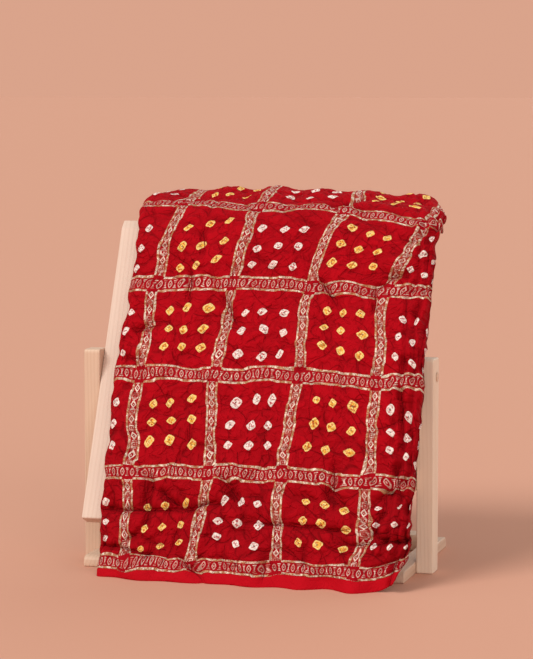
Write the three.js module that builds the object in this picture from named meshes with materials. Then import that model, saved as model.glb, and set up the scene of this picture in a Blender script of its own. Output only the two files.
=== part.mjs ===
// A red bandhani cloth folded lengthwise and draped over a small pine stand.
// Millimetres, +Z up, the front of the stand faces -Y.
// The group stands on the floor with its origin under the middle of its box.
import * as THREE from "three";
import { mergeVertices } from "three/addons/utils/BufferGeometryUtils.js";

// Driving dimensions of the stand
const CLEARANCE = 0.3;
const POST_INNER_X = 176;
const POST_WIDTH = 18;
const POST_DEPTH = 26;
const POST_HEIGHT = 228;
const POST_CORNER = 4;
const RUNNER_WIDTH = 18;
const RUNNER_FRONT_Y = -57;
const RUNNER_REAR_Y = 161;
const RUNNER_HEIGHT = 12;
const RUNNER_CORNER = 8;
const STILE_WIDTH = 40;
const STILE_THICKNESS = 18;
const STILE_LENGTH = 343.5;
const STILE_LEAN = THREE.MathUtils.degToRad(24.5);
const STILE_FOOT = { y: -62.6, z: 53.5 };
const STILE_BEVEL = { along: 11, deep: 5 };
const TOP_RAIL = { bottom: 298, top: 349.2, thickness: 36, crown: 12 };
const LOWER_RAIL = { bottom: 84, top: 124, thickness: 18, crown: 3 };
const STOP_RAIL = { bottom: 88, top: 112, rearY: 14 };
const REAR_BAR = { frontY: 125, rearY: 155, height: 18 };
const PIN = { y: 16, z: 208, radius: 4, headRadius: 5.2, headHeight: 1, sides: 20 };
const PIN_EASING = { tip: 1, headSide: 0.4, headTop: 1.2, crown: 0.2 };
const PIN_PLAY = 0.35;
const WELD = 0.001;
const EDGE = 1.2;
const CORNER = 3;
const FOOT_CORNER = 2;
const EDGE_STEPS = 2;
const ARC_STEPS = 4;
const HOLE_STEPS = 8;

// Driving dimensions of the cloth
const CLOTH_THICKNESS = 2;
const CLOTH_LENGTH = 786;
const LEFT_EDGE_U = -300;
const RIGHT_EDGE_U = 366;
const BOW_SPAN = 160;
const LEVEL_HEM = 110;
const PROBE = 1.5;
const SMOOTH_FROM = 0.55 * Math.PI;

// One row for each height of the cloth. v is the flat distance from the front hem, y and z
// place the middle of the row, left and right are its outermost points, the folds are half
// of its thickness at either side, and the bows push its sides out or in.
const ROW_COLUMNS = ["v", "y", "z", "left", "right", "foldLeft", "foldRight", "bowLeft", "bowRight"];
const ROWS = [
  [0, -114, 0, -146, 180, 22, 20, -6, 2],
  [22, -107, 18, -147, 185, 22, 20, -6, 2],
  [75, -90, 63, -149, 185, 12.2, 13, -3, 0],
  [128, -70, 109, -150, 186, 13, 13, 0, 0],
  [181, -48, 158, -152, 187, 12, 12, 0, 3],
  [234, -24, 207, -154, 188, 12, 9, 0, 8],
  [262, -12, 232, -153, 187, 11, 8, 0, 9],
  [287, -1, 254, -151, 186, 11, 10, 0, 6],
  [340, 22, 300, -150, 185, 10, 10, 0, 2],
  [394, 42, 349, -149, 185, 10, 9, 0, 0],
  [420, 57, 368, -151, 187, 8.5, 8, 0, -1],
  [446, 76, 383, -155, 189, 8, 7.2, -1, -3],
  [477, 105, 392, -161, 183, 13.5, 12.5, -2, -7],
  [500, 127, 398, -164, 177, 20, 16, -3, -8],
  [516, 143, 398, -164, 174, 20, 16, -4, -8],
  [532, 157, 391, -163, 174, 19, 16, -4, -7],
  [552, 166, 374, -164, 172, 18, 16, -4, -6],
  [576, 169, 350, -170, 161, 16, 15, -3, -4],
  [600, 169, 326, -175, 154, 15, 14, -2, -2],
  [658, 169, 268, -180, 150, 12, 12, 0, 0],
  [722, 169, 204, -183, 147, 11, 11, 0, 0],
  [CLOTH_LENGTH, 169, 140, -186, 144, 11, 11, 0, 0],
];

// The even puckers that the tied dots leave
const PUCKER = { height: 1.7, across: 13.5, along: 15.5, slantAcross: 41, slantAlong: 57 };

// Main creases, each a soft trough (or a ridge where its depth is above zero) along a line
// on the cloth from u0, v0 to u1, v1. u is the flat distance to the right of the middle.
const CREASE_COLUMNS = ["u0", "v0", "u1", "v1", "width", "depth"];
const CREASES = [
  [-147, 84, -62, 84, 10, -6.5],
  [-62, 88, -15, 96, 10, -5.5],
  [-141, 40, -83, 30, 11, -7],
  [-95, 118, -91, 84, 9, -5.5],
  [-87, 108, -58, 92, 9, -4.5],
  [-17, 122, 5, 98, 10, -5.5],
  [-52, 28, -27, 0, 10, -6],
  [25, 76, 123, 70, 10, -6.5],
  [121, 54, 196, 60, 10, -7],
  [101, 142, 103, 116, 9, -6],
  [103, 116, 118, 98, 9, -5],
  [166, 116, 153, 88, 10, -5.5],
  [153, 82, 155, 60, 9, -5.5],
  [-81, 354, -77, 320, 9, -5],
  [-39, 324, -25, 296, 9, -4.5],
  [-132, 284, -112, 293, 9, -4.5],
  [-140, 252, -122, 252, 9, -4],
  [-74, 406, -70, 376, 9, -3.5],
  [63, 456, 92, 480, 10, -7.5],
  [63, 350, 85, 320, 10, -5.5],
  [125, 338, 127, 310, 9, -4.5],
  [148, 402, 164, 394, 9, -4.5],
  [138, 354, 156, 352, 9, -4.5],
  [205, 330, 190, 276, 11, -6],
  [166, 216, 171, 188, 9, -4.5],
  [167, 144, 175, 110, 9, -5.5],
  [-22, 478, -12, 532, 16, 6],
  [72, 486, 84, 530, 18, 4.5],
  [28, 0, 30, 44, 24, 7],
  [-120, 0, -112, 30, 16, 5],
];

// The raised corner of the hem at the lower right
const LIFT = { height: 26, fromU: 152, toU: 214, fade: 46 };

// Where the grid of the solid has its lines, as runs of equal steps
const U_RUNS = [
  { from: LEFT_EDGE_U, to: -216, steps: 3 },
  { from: -216, to: -120, steps: 11 },
  { from: -120, to: 130, steps: 18 },
  { from: 130, to: 222, steps: 11 },
  { from: 222, to: RIGHT_EDGE_U, steps: 5 },
];
const V_RUNS = [
  { from: 0, to: 446, steps: 30 },
  { from: 446, to: 552, steps: 9 },
  { from: 552, to: CLOTH_LENGTH, steps: 8 },
];

const paleWood = new THREE.MeshStandardMaterial({ color: 0xe6cbb0, roughness: 0.6, metalness: 0 });
const postWood = new THREE.MeshStandardMaterial({ color: 0xd0a888, roughness: 0.6, metalness: 0 });
const redCloth = new THREE.MeshStandardMaterial({ color: 0xb3121c, roughness: 0.8, metalness: 0 });

// Named columns of a table as one array each
function columnsOf(names, rows) {
  return Object.fromEntries(names.map((name, i) => [name, rows.map((row) => row[i])]));
}

const rowTable = columnsOf(ROW_COLUMNS, ROWS);
const creases = CREASES.map((row) => Object.fromEntries(CREASE_COLUMNS.map((name, i) => [name, row[i]])));

// Slope of a column at row i, from its neighbours
function slopeAt(column, i) {
  const stations = rowTable.v;
  const last = stations.length - 1;
  const side = (j) => (column[j + 1] - column[j]) / (stations[j + 1] - stations[j]);
  if (i === 0) return side(0);
  if (i === last) return side(last - 1);
  const before = stations[i] - stations[i - 1];
  const after = stations[i + 1] - stations[i];
  return (side(i - 1) * after + side(i) * before) / (before + after);
}

// A column's value at the flat distance v: a cubic Hermite curve through the rows
function rowValue(name, v) {
  const stations = rowTable.v;
  const column = rowTable[name];
  let i = 0;
  while (i < stations.length - 2 && v > stations[i + 1]) i += 1;
  const step = stations[i + 1] - stations[i];
  const t = (v - stations[i]) / step;
  const start = column[i] * (1 + 2 * t) * (1 - t) ** 2 + slopeAt(column, i) * step * t * (1 - t) ** 2;
  const end = column[i + 1] * t * t * (3 - 2 * t) - slopeAt(column, i + 1) * step * t * t * (1 - t);
  return start + end;
}

// 0 below a, 1 above b, and a smooth rise between them
function rise(x, a, b) {
  return THREE.MathUtils.smoothstep(x, a, b);
}

// Outward direction of the row at v, level at the hem so that the cloth stands on the floor
function outwardAt(v) {
  const below = Math.max(v - PROBE, 0);
  const above = Math.min(v + PROBE, CLOTH_LENGTH);
  const dy = rowValue("y", above) - rowValue("y", below);
  const dz = rowValue("z", above) - rowValue("z", below);
  const outward = new THREE.Vector2(-dz, dy * rise(v, 0, LEVEL_HEM));
  return outward.normalize();
}

// Distance from a point to the line of a crease
function distanceToCrease(u, v, crease) {
  const du = crease.u1 - crease.u0;
  const dv = crease.v1 - crease.v0;
  const along = ((u - crease.u0) * du + (v - crease.v0) * dv) / (du * du + dv * dv);
  const t = THREE.MathUtils.clamp(along, 0, 1);
  return Math.hypot(u - crease.u0 - t * du, v - crease.v0 - t * dv);
}

// How far the creases and the puckers of the tied dots stand off the smooth drape
function reliefAt(u, v) {
  const { across, along, slantAcross, slantAlong } = PUCKER;
  let height = PUCKER.height * Math.sin(u / across + v / slantAcross) * Math.sin(v / along - u / slantAlong);
  for (const crease of creases) {
    height += crease.depth * Math.exp(-((distanceToCrease(u, v, crease) / crease.width) ** 2));
  }
  return height;
}

// A point of the cloth's outer face. Across, each row is a flat front that turns under in a
// round fold at either side and runs back behind itself to the slit in the middle.
function outerFace(u, v) {
  const left = rowValue("left", v);
  const right = rowValue("right", v);
  const fold = u > 0 ? rowValue("foldRight", v) : rowValue("foldLeft", v);
  const flatHalf = u > 0 ? right - fold : -left - fold;
  const pastFlat = Math.abs(u) - flatHalf;
  const turn = THREE.MathUtils.clamp(pastFlat / fold, 0, Math.PI);
  const returned = Math.max(pastFlat - Math.PI * fold, 0);
  const reach = pastFlat <= 0 ? Math.abs(u) : flatHalf + fold * Math.sin(turn) - returned;
  const x = u > 0 ? reach : -reach;
  const bow = (x > 0 ? rowValue("bowRight", v) : rowValue("bowLeft", v)) * (x / BOW_SPAN) ** 2;
  const shown = 1 - rise(turn, SMOOTH_FROM, Math.PI);
  const offset = bow - fold * (1 - Math.cos(turn)) + reliefAt(u, v) * shown;
  const outward = outwardAt(v);
  const lift = LIFT.height * rise(u, LIFT.fromU, LIFT.toU) * Math.exp(-v / LIFT.fade);
  const z = rowValue("z", v) + offset * outward.y + lift;
  return new THREE.Vector3(x, rowValue("y", v) + offset * outward.x, Math.max(z, 0));
}

// The face towards the inside of the fold, one thickness in from the outer face
function innerFace(u, v) {
  const across = outerFace(Math.min(u + PROBE, RIGHT_EDGE_U), v);
  across.sub(outerFace(Math.max(u - PROBE, LEFT_EDGE_U), v));
  const along = outerFace(u, Math.min(v + PROBE, CLOTH_LENGTH));
  along.sub(outerFace(u, Math.max(v - PROBE, 0)));
  const normal = across.cross(along).normalize();
  const point = outerFace(u, v).addScaledVector(normal, -CLOTH_THICKNESS);
  point.z = v > 0 ? Math.max(point.z, 0) : outerFace(u, v).z;
  return point;
}

// Grid lines of a list of runs
function linesOf(runs) {
  const lines = [runs[0].from];
  for (const run of runs) {
    for (let i = 1; i <= run.steps; i += 1) lines.push(run.from + ((run.to - run.from) * i) / run.steps);
  }
  return lines;
}

// The closed sheet: outer face, inner face and the rim that joins them all round
function sheetGeometry() {
  const us = linesOf(U_RUNS);
  const vs = linesOf(V_RUNS);
  const nu = us.length;
  const nv = vs.length;
  const positions = [];
  for (const face of [outerFace, innerFace]) {
    for (const v of vs) {
      for (const u of us) positions.push(...face(u, v).toArray());
    }
  }
  const outer = (i, j) => j * nu + i;
  const inner = (i, j) => nu * nv + j * nu + i;
  const index = [];
  const quad = (a, b, c, d) => index.push(a, b, c, a, c, d);
  for (let j = 0; j < nv - 1; j += 1) {
    for (let i = 0; i < nu - 1; i += 1) {
      quad(outer(i, j), outer(i + 1, j), outer(i + 1, j + 1), outer(i, j + 1));
      quad(inner(i, j), inner(i, j + 1), inner(i + 1, j + 1), inner(i + 1, j));
    }
  }
  for (let i = 0; i < nu - 1; i += 1) {
    quad(outer(i, 0), inner(i, 0), inner(i + 1, 0), outer(i + 1, 0));
    quad(outer(i + 1, nv - 1), inner(i + 1, nv - 1), inner(i, nv - 1), outer(i, nv - 1));
  }
  for (let j = 0; j < nv - 1; j += 1) {
    quad(outer(0, j + 1), inner(0, j + 1), inner(0, j), outer(0, j));
    quad(outer(nu - 1, j), inner(nu - 1, j), inner(nu - 1, j + 1), outer(nu - 1, j + 1));
  }
  const geometry = new THREE.BufferGeometry();
  geometry.setAttribute("position", new THREE.Float32BufferAttribute(positions, 3));
  geometry.setIndex(index);
  geometry.computeVertexNormals();
  return geometry;
}

// A closed outline through corner points [y, z, radius], each corner rounded by its radius
function roundedOutline(corners) {
  const points = [];
  corners.forEach(([y, z, radius], i) => {
    const corner = new THREE.Vector2(y, z);
    const before = new THREE.Vector2(...corners[(i + corners.length - 1) % corners.length]);
    const after = new THREE.Vector2(...corners[(i + 1) % corners.length]);
    const towardsBefore = before.sub(corner).normalize();
    const towardsAfter = after.sub(corner).normalize();
    const half = Math.acos(THREE.MathUtils.clamp(towardsBefore.dot(towardsAfter), -1, 1)) / 2;
    const cut = radius / Math.tan(half);
    const start = corner.clone().addScaledVector(towardsBefore, cut);
    const end = corner.clone().addScaledVector(towardsAfter, cut);
    const curve = new THREE.QuadraticBezierCurve(start, corner, end);
    points.push(...curve.getPoints(radius > 0 ? ARC_STEPS : 1));
  });
  return new THREE.Shape(points);
}

// A board whose outline lies in the YZ plane, between two x, with its edges eased
function board(shape, xMin, xMax) {
  const geometry = new THREE.ExtrudeGeometry(shape, {
    depth: xMax - xMin - 2 * EDGE,
    bevelEnabled: true,
    bevelThickness: EDGE,
    bevelSize: EDGE,
    bevelOffset: -EDGE,
    bevelSegments: EDGE_STEPS,
    curveSegments: HOLE_STEPS,
  });
  const turned = new THREE.Matrix4().makeBasis(
    new THREE.Vector3(0, 1, 0),
    new THREE.Vector3(0, 0, 1),
    new THREE.Vector3(1, 0, 0),
  );
  geometry.applyMatrix4(turned);
  geometry.translate(xMin + EDGE, 0, 0);
  return geometry;
}

// A point of the stile's side, by its distance along the stile and behind its front face
function onStile(along, behind) {
  const sin = Math.sin(STILE_LEAN);
  const cos = Math.cos(STILE_LEAN);
  return [STILE_FOOT.y + along * sin + behind * cos, STILE_FOOT.z + along * cos - behind * sin];
}

// The round hole that a pin passes through, which the eased edges widen at either face
function pinHole() {
  const hole = new THREE.Path();
  hole.absarc(PIN.y, PIN.z, PIN.radius + PIN_PLAY, 0, 2 * Math.PI, true);
  return hole;
}

function postShape() {
  const shape = roundedOutline([
    [0, 0, FOOT_CORNER],
    [POST_DEPTH, 0, FOOT_CORNER],
    [POST_DEPTH, POST_HEIGHT, POST_CORNER],
    [0, POST_HEIGHT, POST_CORNER],
  ]);
  shape.holes.push(pinHole());
  return shape;
}

function runnerShape() {
  return roundedOutline([
    [RUNNER_FRONT_Y, 0, FOOT_CORNER],
    [RUNNER_REAR_Y, 0, FOOT_CORNER],
    [RUNNER_REAR_Y, RUNNER_HEIGHT, RUNNER_CORNER],
    [RUNNER_FRONT_Y, RUNNER_HEIGHT, RUNNER_CORNER],
  ]);
}

function stileShape() {
  const { along, deep } = STILE_BEVEL;
  const shape = roundedOutline([
    [...onStile(0, 0), FOOT_CORNER],
    [...onStile(0, STILE_THICKNESS), FOOT_CORNER],
    [...onStile(STILE_LENGTH, STILE_THICKNESS), FOOT_CORNER],
    [...onStile(STILE_LENGTH, deep), FOOT_CORNER],
    [...onStile(STILE_LENGTH - along, 0), FOOT_CORNER],
  ]);
  shape.holes.push(pinHole());
  return shape;
}

// A rail's section in the lean of the stiles, its top corners rounded by the crown
function leaningRailShape({ bottom, top, thickness, crown }) {
  return roundedOutline([
    [...onStile(bottom, 0), CORNER],
    [...onStile(bottom, thickness), CORNER],
    [...onStile(top, thickness), crown],
    [...onStile(top, 0), crown],
  ]);
}

// The stop rail, its front planed to the lean of the stiles that rest on it
function stopRailShape() {
  const { bottom, top, rearY } = STOP_RAIL;
  const cos = Math.cos(STILE_LEAN);
  const frontY = (z) => {
    const behind = (STILE_THICKNESS + CLEARANCE) / cos;
    return STILE_FOOT.y + (z - STILE_FOOT.z) * Math.tan(STILE_LEAN) + behind;
  };
  return roundedOutline([
    [frontY(bottom), bottom, CORNER],
    [rearY, bottom, CORNER],
    [rearY, top, CORNER],
    [frontY(top), top, CORNER],
  ]);
}

function rearBarShape() {
  const { frontY, rearY, height } = REAR_BAR;
  return roundedOutline([
    [frontY, 0, FOOT_CORNER],
    [rearY, 0, FOOT_CORNER],
    [rearY, height, CORNER],
    [frontY, height, CORNER],
  ]);
}

// A dowel through post and stile with a low round head outside
function pinGeometry() {
  const { tip, headSide, headTop, crown } = PIN_EASING;
  const inner = POST_INNER_X - STILE_WIDTH + CLEARANCE;
  const face = POST_INNER_X + POST_WIDTH + CLEARANCE;
  const head = face + PIN.headHeight;
  const profile = [
    [0, inner],
    [PIN.radius - tip, inner],
    [PIN.radius, inner + tip],
    [PIN.radius, face],
    [PIN.headRadius, face],
    [PIN.headRadius, face + headSide],
    [PIN.headRadius - headTop, head - crown],
    [0, head],
  ].map(([radius, x]) => new THREE.Vector2(radius, x));
  const geometry = new THREE.LatheGeometry(profile, PIN.sides);
  geometry.rotateZ(-Math.PI / 2);
  geometry.translate(0, PIN.y, PIN.z);
  return geometry;
}

const model = new THREE.Group();

// Adds a geometry to the model as one named piece
function addPiece(name, geometry, material) {
  for (const attribute of ["normal", "uv"]) geometry.deleteAttribute(attribute);
  const welded = mergeVertices(geometry, WELD);
  welded.computeVertexNormals();
  const mesh = new THREE.Mesh(welded, material);
  mesh.name = name;
  model.add(mesh);
  return mesh;
}

// Adds a board between two x at the right side, and the same board at the left side
function addBothSides(name, shape, xMin, xMax, material) {
  addPiece(`${name}_right`, board(shape, xMin, xMax), material);
  addPiece(`${name}_left`, board(shape, -xMax, -xMin), material);
}

const sideFace = POST_INNER_X - CLEARANCE;
addBothSides("post", postShape(), POST_INNER_X, POST_INNER_X + POST_WIDTH, postWood);
addBothSides("runner", runnerShape(), sideFace - RUNNER_WIDTH, sideFace, postWood);
addBothSides("stile", stileShape(), sideFace - STILE_WIDTH, sideFace, paleWood);

const betweenStiles = sideFace - STILE_WIDTH - CLEARANCE;
addPiece("top_rail", board(leaningRailShape(TOP_RAIL), -betweenStiles, betweenStiles), paleWood);
addPiece("lower_rail", board(leaningRailShape(LOWER_RAIL), -betweenStiles, betweenStiles), paleWood);
addPiece("stop_rail", board(stopRailShape(), -sideFace, sideFace), postWood);

const betweenRunners = sideFace - RUNNER_WIDTH - CLEARANCE;
addPiece("rear_bar", board(rearBarShape(), -betweenRunners, betweenRunners), postWood);

const rightPin = pinGeometry();
const leftPin = rightPin.clone().rotateZ(Math.PI).translate(0, 2 * PIN.y, 0);
addPiece("pin_right", rightPin, postWood);
addPiece("pin_left", leftPin, postWood);

addPiece("cloth", sheetGeometry(), redCloth);

const box = new THREE.Box3().setFromObject(model);
const middle = box.getCenter(new THREE.Vector3());
model.position.set(-middle.x, -middle.y, -box.min.z);

export default model;
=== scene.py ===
# %% [markdown]
# # A bandhani cloth on a small wooden stand
#
# The cloth is a tie-dyed panel: before it is dyed, tiny pinches of it are bound with thread,
# and each binding leaves an undyed dot with puckers round it. Bands of metallic thread, called
# zari, are woven in as a large check. Here it is one sheet, folded lengthwise and laid over a
# leaning frame.
#
# The solids come first and stay as they are. The boards get wood, and a thin, finely creased
# sheet takes the place of the plain solid of the cloth.

import bpy
import numpy as np
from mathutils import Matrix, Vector


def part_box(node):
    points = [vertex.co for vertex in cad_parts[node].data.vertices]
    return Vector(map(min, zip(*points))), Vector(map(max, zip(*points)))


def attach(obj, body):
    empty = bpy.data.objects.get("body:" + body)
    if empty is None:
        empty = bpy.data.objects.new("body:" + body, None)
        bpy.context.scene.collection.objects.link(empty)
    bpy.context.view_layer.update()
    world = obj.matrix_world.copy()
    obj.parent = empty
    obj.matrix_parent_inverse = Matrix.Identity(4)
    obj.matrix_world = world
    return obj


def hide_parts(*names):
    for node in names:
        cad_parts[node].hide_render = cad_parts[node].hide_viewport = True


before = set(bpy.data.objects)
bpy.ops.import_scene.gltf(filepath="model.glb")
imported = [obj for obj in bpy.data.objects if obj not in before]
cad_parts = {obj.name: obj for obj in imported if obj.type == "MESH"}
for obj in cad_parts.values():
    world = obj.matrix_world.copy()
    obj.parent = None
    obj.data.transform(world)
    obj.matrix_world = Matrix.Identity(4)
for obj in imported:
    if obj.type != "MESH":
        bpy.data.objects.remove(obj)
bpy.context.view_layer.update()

# %% [markdown]
# ## The camera
#
# The photograph is taken from a little to the right of the front and a little above, from far
# away, so that upright lines hardly lean. The pose below was found from the straight boards.
# It is given as a direction and a distance, because these can be read and changed by hand.

# %% Camera
FROM_SIDE = np.radians(15.56)
FROM_ABOVE = np.radians(5.59)
DISTANCE = 2.6936
LOOKED_AT = Vector((0.0121, 0.0, 0.2548))
FOCAL_PIXELS = 2531.0
PHOTO_HEIGHT = 659

left_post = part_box("post_left")
right_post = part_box("post_right")
MIDDLE_X = (left_post[0][0] + right_post[1][0]) / 2
POST_FRONT_Y = left_post[0][1]
ORIGIN = Vector((MIDDLE_X, POST_FRONT_Y, 0.0))

direction = Vector((
    np.sin(FROM_SIDE) * np.cos(FROM_ABOVE),
    -np.cos(FROM_SIDE) * np.cos(FROM_ABOVE),
    np.sin(FROM_ABOVE),
))
camera_data = bpy.data.cameras.new("camera")
# The sensor's width stands for the picture's longer side, which is its height
camera_data.sensor_width = 36.0
camera_data.lens = FOCAL_PIXELS / PHOTO_HEIGHT * camera_data.sensor_width
camera = bpy.data.objects.new("camera", camera_data)
camera.location = ORIGIN + LOOKED_AT + DISTANCE * direction
camera.rotation_euler = direction.to_track_quat("Z", "Y").to_euler()
bpy.context.scene.collection.objects.link(camera)
bpy.context.scene.camera = camera

# %% [markdown]
# ## Helpers for shader nodes
#
# A material is a net of nodes. The class below adds a node, fills its sockets and gives back
# what comes out, so that a pattern reads like the formula it is.

# %% Shader helpers
class Net:
    """Adds shader nodes to one tree.

    A given value is either a socket, which is linked, or a number or colour, which is set.
    """

    def __init__(self, tree):
        self.tree = tree

    def fill(self, sockets, values):
        """Links or sets each socket that is named in the values."""
        for key, value in values.items():
            if isinstance(value, bpy.types.NodeSocket):
                self.tree.links.new(value, sockets[key])
            else:
                sockets[key].default_value = value

    def add(self, kind, inputs=None, **settings):
        node = self.tree.nodes.new("ShaderNode" + kind)
        for name, value in settings.items():
            setattr(node, name, value)
        self.fill(node.inputs, inputs or {})
        return node

    def group(self, tree, inputs):
        return self.add("Group", inputs, node_tree=tree).outputs

    def math(self, operation, *values):
        return self.add("Math", dict(enumerate(values)), operation=operation).outputs[0]

    def vector(self, operation, *values):
        return self.add("VectorMath", dict(enumerate(values)), operation=operation).outputs[0]

    def scaled(self, vector, scale):
        return self.add("VectorMath", {0: vector, "Scale": scale}, operation="SCALE").outputs[0]

    def turned(self, vector, angle, axis):
        inputs = {"Vector": vector, "Angle": angle}
        return self.add("VectorRotate", inputs, rotation_type=axis + "_AXIS").outputs[0]

    def parts(self, vector):
        """The x, y and z of a vector."""
        return self.add("SeparateXYZ", {0: vector}).outputs

    def attribute(self, name):
        """A number that the mesh carries at its points."""
        return self.add("Attribute", attribute_name=name).outputs["Fac"]

    def noise(self, vector, scale, detail=2.0, output=0):
        inputs = {"Vector": vector, "Scale": scale, "Detail": detail}
        return self.add("TexNoise", inputs).outputs[output]

    def away(self, a, b):
        """|a - b|."""
        return self.math("ABSOLUTE", self.math("SUBTRACT", a, b))

    def step(self, value, start, end):
        """0 at start and 1 at end, with a smooth rise between them. The start may be the larger."""
        inputs = {"Value": value, "From Min": start, "From Max": end}
        return self.add("MapRange", inputs, interpolation_type="SMOOTHSTEP").outputs[0]

    def between(self, factor, low, high):
        """low + factor (high - low): low where the factor is 0, high where it is 1."""
        return self.math("MULTIPLY_ADD", factor, high - low, low)

    def line(self, value, at, half_width):
        """1 where value is near at, and 0 from half_width away."""
        return self.step(self.away(value, at), half_width, half_width * 0.6)

    def rounded(self, x, y, halves, power):
        """(|x / half x|^power + |y / half y|^power)^(1 / power), which is 1 on an outline.

        The power 1 gives a lozenge, 2 an ellipse, and a higher one squarer corners.
        """
        ratios = [self.math("DIVIDE", *pair) for pair in zip((x, y), halves)]
        powers = [self.math("POWER", self.math("ABSOLUTE", ratio), power) for ratio in ratios]
        return self.math("POWER", self.math("ADD", *powers), 1 / power)

    def inverse(self, mask):
        """1 - mask."""
        return self.math("SUBTRACT", 1.0, mask)

    def any(self, *masks):
        """The largest of the masks."""
        result = masks[0]
        for mask in masks[1:]:
            result = self.math("MAXIMUM", result, mask)
        return result

    def times(self, *values):
        """The product of the values."""
        result = values[0]
        for value in values[1:]:
            result = self.math("MULTIPLY", result, value)
        return result

    def blend(self, factor, a, b):
        """a (1 - factor) + b factor, for two colours."""
        return self.add("Mix", {0: factor, 6: a, 7: b}, data_type="RGBA").outputs[2]


def new_group(name, inputs, outputs):
    """An empty node group. inputs and outputs map each label to its kind of socket."""
    tree = bpy.data.node_groups.new(name, "ShaderNodeTree")
    for in_out, sockets in (("INPUT", inputs), ("OUTPUT", outputs)):
        for label, kind in sockets.items():
            tree.interface.new_socket(label, in_out=in_out, socket_type="NodeSocket" + kind)
    entry = tree.nodes.new("NodeGroupInput").outputs
    result = tree.nodes.new("NodeGroupOutput").inputs
    return Net(tree), entry, result


def new_material(name):
    """A material with one Principled shader, its net and the shader's inputs."""
    material = bpy.data.materials.new(name)
    material.use_nodes = True
    material.node_tree.nodes.clear()
    net = Net(material.node_tree)
    shader = net.add("BsdfPrincipled")
    net.add("OutputMaterial", {"Surface": shader.outputs[0]})
    return material, net, shader.inputs


# %% [markdown]
# ## The shape of the cloth
#
# The sheet is a surface over two flat distances: u runs across the cloth, from its middle to
# the right, and v runs along it, from the front hem. A short table gives one section for each
# main height, and a smooth curve runs through the sections. The table is in millimetres and
# matches the solid, so the sheet lies on it.

# %% Tables of the drape
MM = 0.001
# The flat sheet: its length, and its two edges at the slit behind
LENGTH = 786.0
LEFT_EDGE, RIGHT_EDGE = -300.0, 366.0
BOW_SPAN = 160.0  # the distance across at which a bow is full
LEVEL_HEM = 110.0  # above this the outward direction no longer turns level
SMOOTH_FROM = 0.55 * np.pi  # the turn of a fold where the relief starts to fade

# Place of the middle line, then the two sides, the radii of the two folds and the two bows
SECTION_COLUMNS = [
    "v", "y", "z", "left", "right", "fold_left", "fold_right", "bow_left", "bow_right"
]
SECTIONS = np.array([
    [0, -114, 0, -146, 180, 22, 20, -6, 2],
    [22, -107, 18, -147, 185, 22, 20, -6, 2],
    [75, -90, 63, -149, 185, 12.2, 13, -3, 0],
    [128, -70, 109, -150, 186, 13, 13, 0, 0],
    [181, -48, 158, -152, 187, 12, 12, 0, 3],
    [234, -24, 207, -154, 188, 12, 9, 0, 8],
    [262, -12, 232, -153, 187, 11, 8, 0, 9],
    [287, -1, 254, -151, 186, 11, 10, 0, 6],
    [340, 22, 300, -150, 185, 10, 10, 0, 2],
    [394, 42, 349, -149, 185, 10, 9, 0, 0],
    [420, 57, 368, -151, 187, 8.5, 8, 0, -1],
    [446, 76, 383, -155, 189, 8, 7.2, -1, -3],
    [477, 105, 392, -161, 183, 13.5, 12.5, -2, -7],
    [500, 127, 398, -164, 177, 20, 16, -3, -8],
    [516, 143, 398, -164, 174, 20, 16, -4, -8],
    [532, 157, 391, -163, 174, 19, 16, -4, -7],
    [552, 166, 374, -164, 172, 18, 16, -4, -6],
    [576, 169, 350, -170, 161, 16, 15, -3, -4],
    [600, 169, 326, -175, 154, 15, 14, -2, -2],
    [658, 169, 268, -180, 150, 12, 12, 0, 0],
    [722, 169, 204, -183, 147, 11, 11, 0, 0],
    [LENGTH, 169, 140, -186, 144, 11, 11, 0, 0],
])
section = dict(zip(SECTION_COLUMNS, SECTIONS.T))

# A low even pucker: its height, its pitch across and along, and how it slants
PUCKER_HEIGHT = 1.7
PUCKER_ACROSS, PUCKER_ALONG = 13.5, 15.5
PUCKER_SLANT_ACROSS, PUCKER_SLANT_ALONG = 41.0, 57.0

# u0, v0, u1, v1, width, depth: a soft trough, or a ridge where the depth is above zero
MAIN_CREASES = np.array([
    [-147, 84, -62, 84, 10, -6.5], [-62, 88, -15, 96, 10, -5.5],
    [-141, 40, -83, 30, 11, -7], [-95, 118, -91, 84, 9, -5.5],
    [-87, 108, -58, 92, 9, -4.5], [-17, 122, 5, 98, 10, -5.5],
    [-52, 28, -27, 0, 10, -6], [25, 76, 123, 70, 10, -6.5],
    [121, 54, 196, 60, 10, -7], [101, 142, 103, 116, 9, -6],
    [103, 116, 118, 98, 9, -5], [166, 116, 153, 88, 10, -5.5],
    [153, 82, 155, 60, 9, -5.5], [-81, 354, -77, 320, 9, -5],
    [-39, 324, -25, 296, 9, -4.5], [-132, 284, -112, 293, 9, -4.5],
    [-140, 252, -122, 252, 9, -4], [-74, 406, -70, 376, 9, -3.5],
    [63, 456, 92, 480, 10, -7.5], [63, 350, 85, 320, 10, -5.5],
    [125, 338, 127, 310, 9, -4.5], [148, 402, 164, 394, 9, -4.5],
    [138, 354, 156, 352, 9, -4.5], [205, 330, 190, 276, 11, -6],
    [166, 216, 171, 188, 9, -4.5], [167, 144, 175, 110, 9, -5.5],
    [-22, 478, -12, 532, 16, 6], [72, 486, 84, 530, 18, 4.5],
    [28, 0, 30, 44, 24, 7], [-120, 0, -112, 30, 16, 5],
])

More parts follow.
